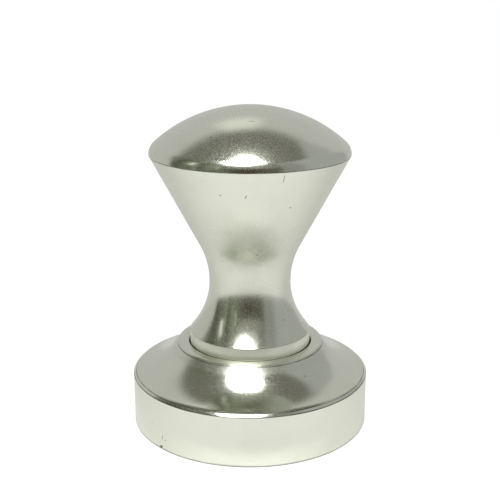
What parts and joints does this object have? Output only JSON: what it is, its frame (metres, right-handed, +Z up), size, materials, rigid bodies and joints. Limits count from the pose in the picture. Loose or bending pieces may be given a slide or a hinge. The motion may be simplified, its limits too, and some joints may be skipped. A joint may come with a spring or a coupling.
{
  "type": "espresso tamper",
  "caption": "Calibrated espresso tamper: a flat coved base and an hourglass handle with a domed top that slides down into the base's collar against a preloaded spring.",
  "frame": {"origin": "centre of the flat tamping face, which is the lowest plane of the part", "axes": "+Z up along the tamper's axis, from the tamping face to the domed top; +X through the right-hand dowel pin and click ball"},
  "size_m": [0.058, 0.058, 0.078],
  "materials": {
    "turned_aluminium": "satin polished, bare, faint turning marks",
    "polished_aluminium": "polished satin, soft highlights",
    "hardened_steel": "ground, lightly oiled",
    "spring_steel": "drawn wire, grey",
    "bearing_bronze": "machined bearing bronze",
    "black_rubber": "moulded nitrile, matt"
  },
  "bodies": {
    "base": {"tamping_base": "turned_aluminium", "bumper_ring": "black_rubber", "guide_post": "hardened_steel", "post_lock_washer": "hardened_steel", "dowel_pin_left": "hardened_steel", "dowel_pin_right": "hardened_steel", "click_spring": "spring_steel", "stop_washer": "hardened_steel", "retaining_ring": "spring_steel", "lower_spring_seat": "hardened_steel", "main_spring": "spring_steel"},
    "handle": {"handle_shell": "polished_aluminium", "foot_plug": "turned_aluminium", "plug_o_ring": "black_rubber", "wiper_seal": "black_rubber", "guide_bush": "bearing_bronze", "detent_sleeve": "hardened_steel", "upper_spring_seat": "hardened_steel", "preload_shim_1": "hardened_steel", "preload_shim_2": "hardened_steel"},
    "left_ball": {"click_ball_left": "hardened_steel"},
    "right_ball": {"click_ball_right": "hardened_steel"}
  },
  "joints": [
    {"name": "handle_press", "type": "slide", "parent": "base", "child": "handle", "axis": [0, 0, -1], "range_m": [0, 0.0025], "stiffness_N_per_m": 2000, "springref_m": -0.001, "deforming": ["main_spring", "click_spring"]},
    {"name": "left_ball_press", "type": "slide", "parent": "base", "child": "left_ball", "axis": [1, 0, 0], "range_m": [0, 0.0005]},
    {"name": "right_ball_press", "type": "slide", "parent": "base", "child": "right_ball", "axis": [-1, 0, 0], "range_m": [0, 0.0005]}
  ],
  "couplings": [
    {"joint": "left_ball_press", "follows": "handle_press", "ratio": 0.2},
    {"joint": "right_ball_press", "follows": "handle_press", "ratio": 0.2}
  ]
}
